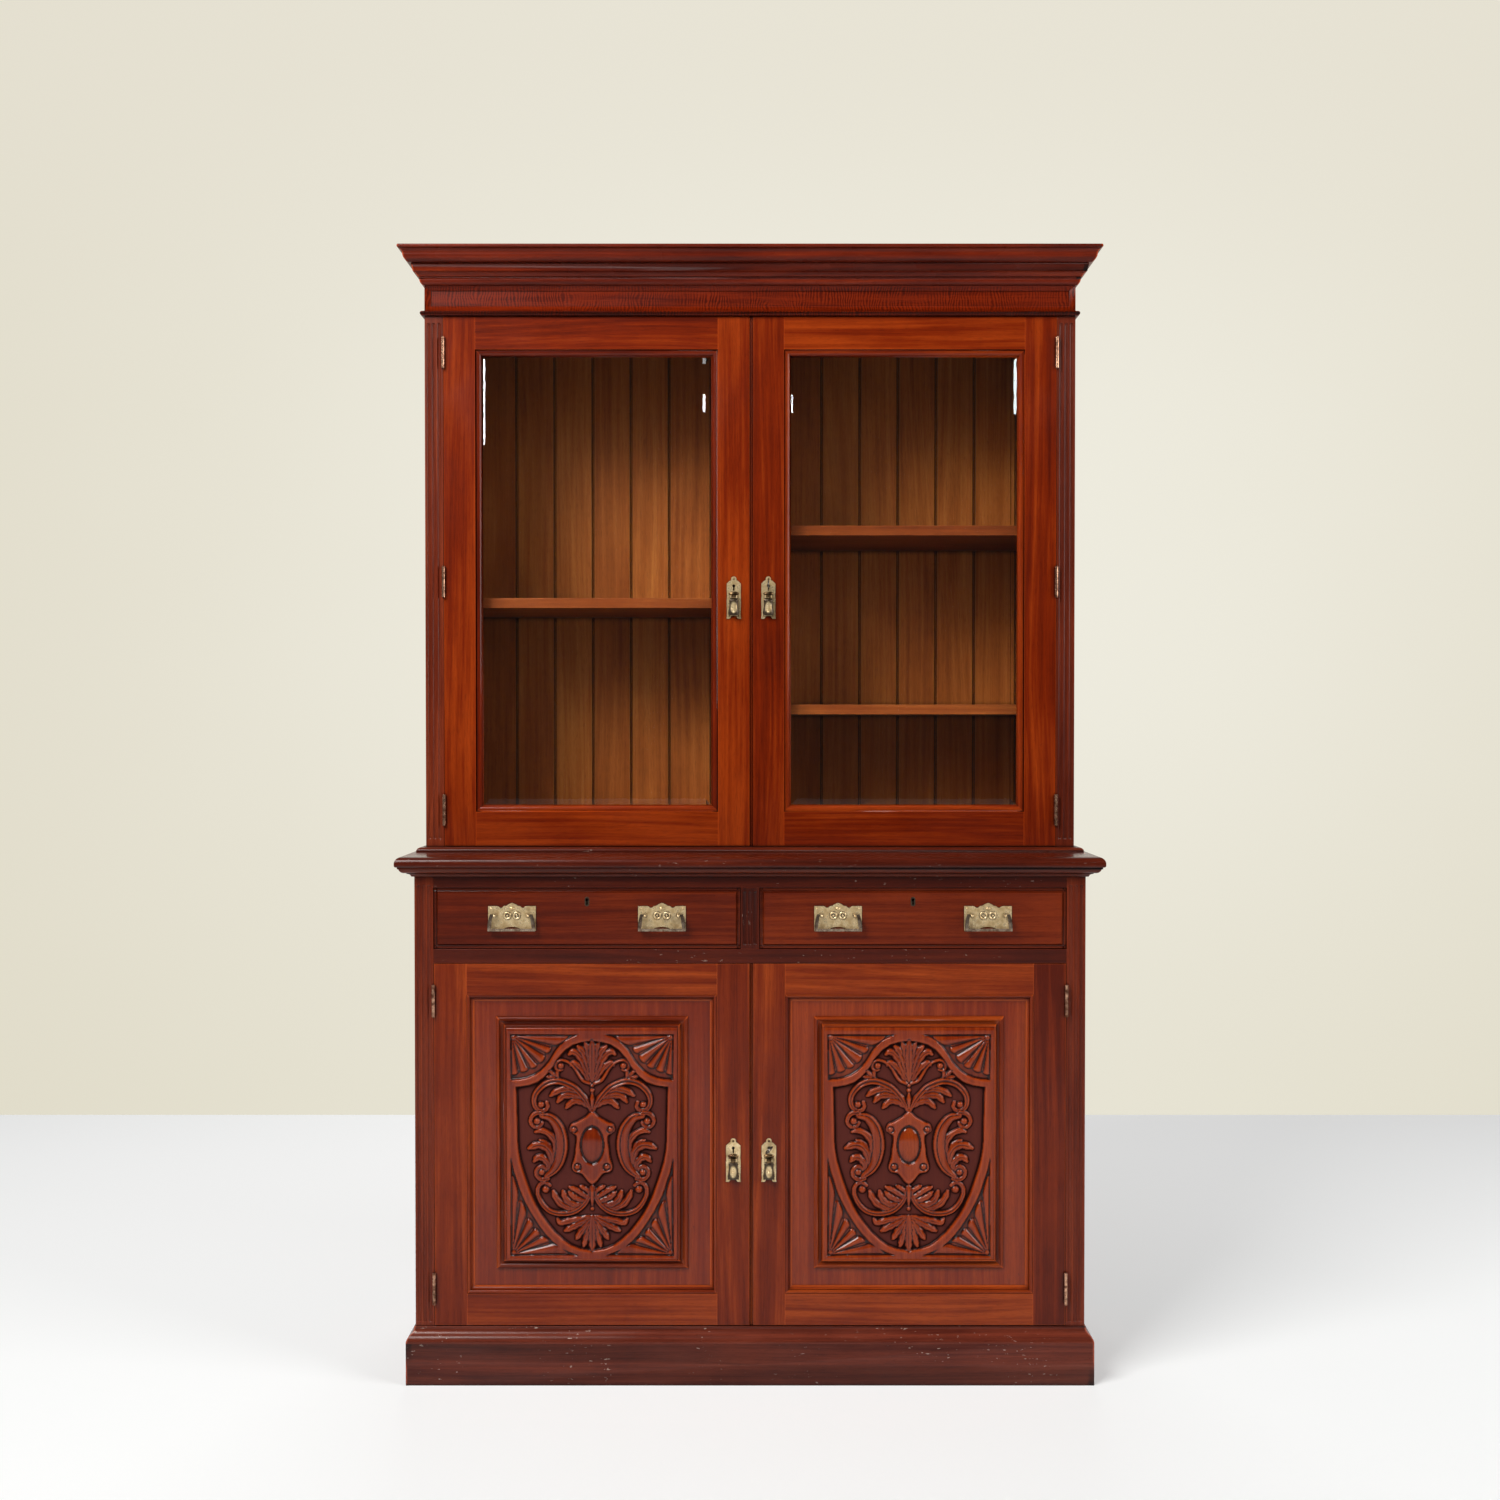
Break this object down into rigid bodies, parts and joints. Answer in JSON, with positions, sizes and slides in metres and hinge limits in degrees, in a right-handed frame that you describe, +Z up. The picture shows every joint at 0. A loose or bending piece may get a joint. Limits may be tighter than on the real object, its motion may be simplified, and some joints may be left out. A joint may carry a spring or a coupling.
{
  "type": "bookcase with glass doors",
  "caption": "Two-part mahogany bookcase: glazed doors over shelves above, drawers with brass bails and carved panelled doors below, on a plinth.",
  "frame": {"origin": "on the floor at the centre of the bookcase's overall box", "axes": "+Z up; the doors face -Y; +X to the right as seen from the front"},
  "size_m": [1.4138, 0.488, 2.262],
  "materials": {
    "mahogany": "dark red French-polished mahogany",
    "door_mahogany": "bright red-brown French-polished mahogany",
    "interior_wood": "satin stained pine and mahogany",
    "matchboard": "satin stained beaded boards",
    "glass": "clear bevelled plate glass",
    "brass": "aged pressed brass",
    "steel": "worn steel"
  },
  "bodies": {
    "carcase": {"plinth_boards": "mahogany", "base_sides": "mahogany", "base_bottom_board": "interior_wood", "base_back_boards": "matchboard", "base_pilasters": "mahogany", "base_face_rails": "mahogany", "drawer_divider": "mahogany", "drawer_runners": "interior_wood", "base_shelf": "interior_wood", "base_top": "mahogany", "base_top_moulding": "mahogany", "upper_foot_moulding": "mahogany", "upper_sides": "mahogany", "upper_floor_and_ceiling": "interior_wood", "upper_partition": "interior_wood", "upper_pilasters": "mahogany", "frieze": "mahogany", "cornice": "mahogany", "upper_back_boards": "matchboard", "upper_shelves": "interior_wood", "shelf_pegs": "brass", "hinge_jamb_leaves": "brass"},
    "upper_door_left": {"upper_door_left_frame": "door_mahogany", "upper_door_left_beads": "door_mahogany", "upper_door_left_glass": "glass", "upper_door_left_hinges": "brass", "upper_door_left_plate": "brass"},
    "upper_door_left_drop_pull": {"upper_door_left_drop_pull": "brass"},
    "upper_door_right": {"upper_door_right_frame": "door_mahogany", "upper_door_right_beads": "door_mahogany", "upper_door_right_glass": "glass", "upper_door_right_hinges_and_lock": "brass", "upper_door_right_plate": "brass"},
    "upper_door_right_drop_pull": {"upper_door_right_drop_pull": "brass"},
    "upper_door_right_key": {"upper_door_right_key": "steel"},
    "upper_door_right_lock_bolt": {"upper_door_right_lock_bolt": "brass"},
    "lower_door_left": {"lower_door_left_frame": "mahogany", "lower_door_left_panel": "mahogany", "lower_door_left_mouldings": "mahogany", "lower_door_left_hinges": "brass", "lower_door_left_plate": "brass"},
    "lower_door_left_drop_pull": {"lower_door_left_drop_pull": "brass"},
    "lower_door_right": {"lower_door_right_frame": "mahogany", "lower_door_right_panel": "mahogany", "lower_door_right_mouldings": "mahogany", "lower_door_right_hinges_and_lock": "brass", "lower_door_right_plate": "brass"},
    "lower_door_right_drop_pull": {"lower_door_right_drop_pull": "brass"},
    "lower_door_right_key": {"lower_door_right_key": "steel"},
    "lower_door_right_lock_bolt": {"lower_door_right_lock_bolt": "brass"},
    "drawer_left": {"drawer_left_front": "mahogany", "drawer_left_box": "interior_wood", "drawer_left_pull_plates": "brass"},
    "drawer_left_bail_left": {"drawer_left_bail_left": "brass"},
    "drawer_left_bail_right": {"drawer_left_bail_right": "brass"},
    "drawer_right": {"drawer_right_front": "mahogany", "drawer_right_box": "interior_wood", "drawer_right_pull_plates": "brass"},
    "drawer_right_bail_left": {"drawer_right_bail_left": "brass"},
    "drawer_right_bail_right": {"drawer_right_bail_right": "brass"}
  },
  "joints": [
    {"name": "upper_door_left_hinge", "type": "hinge", "parent": "carcase", "child": "upper_door_left", "pos_m": [-0.623, -0.1, 0], "axis": [0, 0, -1], "range_deg": [0, 170]},
    {"name": "upper_door_left_drop_pull_swing", "type": "hinge", "parent": "upper_door_left", "child": "upper_door_left_drop_pull", "pos_m": [-0.033, -0.1045, 1.559], "axis": [-1, 0, 0], "range_deg": [-4, 90]},
    {"name": "upper_door_right_hinge", "type": "hinge", "parent": "carcase", "child": "upper_door_right", "pos_m": [0.623, -0.1, 0], "axis": [0, 0, 1], "range_deg": [0, 170]},
    {"name": "upper_door_right_drop_pull_swing", "type": "hinge", "parent": "upper_door_right", "child": "upper_door_right_drop_pull", "pos_m": [0.0373, -0.1045, 1.559], "axis": [-1, 0, 0], "range_deg": [-4, 90]},
    {"name": "upper_door_right_key_turn", "type": "hinge", "parent": "upper_door_right", "child": "upper_door_right_key", "pos_m": [0.0373, -0.096, 1.582], "axis": [0, 1, 0], "range_deg": [0, 90]},
    {"name": "upper_door_right_lock_bolt_slide", "type": "slide", "parent": "upper_door_right", "child": "upper_door_right_lock_bolt", "axis": [-1, 0, 0], "range_m": [0, 0.0061]},
    {"name": "lower_door_left_hinge", "type": "hinge", "parent": "carcase", "child": "lower_door_left", "pos_m": [-0.623, -0.215, 0], "axis": [0, 0, -1], "range_deg": [0, 170]},
    {"name": "lower_door_left_drop_pull_swing", "type": "hinge", "parent": "lower_door_left", "child": "lower_door_left_drop_pull", "pos_m": [-0.033, -0.2195, 0.442], "axis": [-1, 0, 0], "range_deg": [-4, 90]},
    {"name": "lower_door_right_hinge", "type": "hinge", "parent": "carcase", "child": "lower_door_right", "pos_m": [0.623, -0.215, 0], "axis": [0, 0, 1], "range_deg": [0, 170]},
    {"name": "lower_door_right_drop_pull_swing", "type": "hinge", "parent": "lower_door_right", "child": "lower_door_right_drop_pull", "pos_m": [0.0373, -0.2195, 0.442], "axis": [-1, 0, 0], "range_deg": [-4, 90]},
    {"name": "lower_door_right_key_turn", "type": "hinge", "parent": "lower_door_right", "child": "lower_door_right_key", "pos_m": [0.0373, -0.211, 0.465], "axis": [0, 1, 0], "range_deg": [-45, 45]},
    {"name": "lower_door_right_lock_bolt_slide", "type": "slide", "parent": "lower_door_right", "child": "lower_door_right_lock_bolt", "axis": [-1, 0, 0], "range_m": [-0.0031, 0.0031]},
    {"name": "drawer_left_slide", "type": "slide", "parent": "carcase", "child": "drawer_left", "axis": [0, -1, 0], "range_m": [0, 0.3]},
    {"name": "drawer_left_bail_left_swing", "type": "hinge", "parent": "drawer_left", "child": "drawer_left_bail_left", "pos_m": [-0.46825, -0.2215, 0.9247], "axis": [-1, 0, 0], "range_deg": [-10, 90]},
    {"name": "drawer_left_bail_right_swing", "type": "hinge", "parent": "drawer_left", "child": "drawer_left_bail_right", "pos_m": [-0.17325, -0.2215, 0.9247], "axis": [-1, 0, 0], "range_deg": [-10, 90]},
    {"name": "drawer_right_slide", "type": "slide", "parent": "carcase", "child": "drawer_right", "axis": [0, -1, 0], "range_m": [0, 0.3]},
    {"name": "drawer_right_bail_left_swing", "type": "hinge", "parent": "drawer_right", "child": "drawer_right_bail_left", "pos_m": [0.17325, -0.2215, 0.9247], "axis": [-1, 0, 0], "range_deg": [-10, 90]},
    {"name": "drawer_right_bail_right_swing", "type": "hinge", "parent": "drawer_right", "child": "drawer_right_bail_right", "pos_m": [0.46825, -0.2215, 0.9247], "axis": [-1, 0, 0], "range_deg": [-10, 90]}
  ],
  "couplings": [
    {"joint": "upper_door_right_lock_bolt_slide", "follows": "upper_door_right_key_turn", "m_per_rad": 0.0038197},
    {"joint": "lower_door_right_lock_bolt_slide", "follows": "lower_door_right_key_turn", "m_per_rad": 0.0038197}
  ]
}
